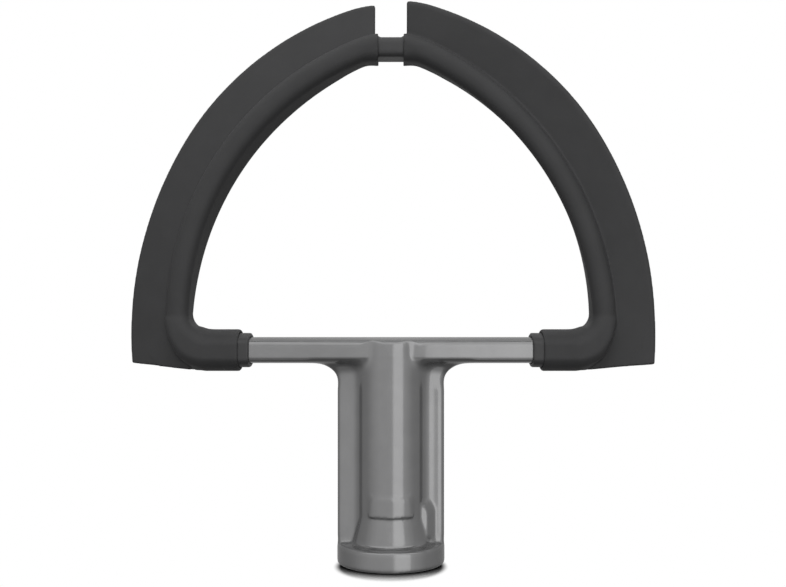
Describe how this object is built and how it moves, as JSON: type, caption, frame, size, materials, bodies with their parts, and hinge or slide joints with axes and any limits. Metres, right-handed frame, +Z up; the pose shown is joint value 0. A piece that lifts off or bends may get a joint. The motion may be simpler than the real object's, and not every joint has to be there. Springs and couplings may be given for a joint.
{
  "type": "stand mixer flat beater",
  "caption": "Flat beater for a tilt-head stand mixer: a cast aluminium hub and crossbar, a stiff dark arch, and a soft scraper blade moulded over each arm.",
  "frame": {"origin": "On the shaft axis, in the plane of the hub's mouth, which is the base it stands on.", "axes": "+Z up along the shaft axis towards the arch, X along the crossbar, -Y towards the front of the picture."},
  "size_m": [0.14, 0.0286, 0.1496],
  "materials": {
    "cast_aluminium": "burnished die casting",
    "stiff_plastic": "satin moulded",
    "soft_rubber": "matte moulded"
  },
  "bodies": {
    "root": {"hub_casting": "cast_aluminium", "arch_rib": "stiff_plastic", "left_flex_blade": "soft_rubber", "right_flex_blade": "soft_rubber"}
  },
  "joints": []
}
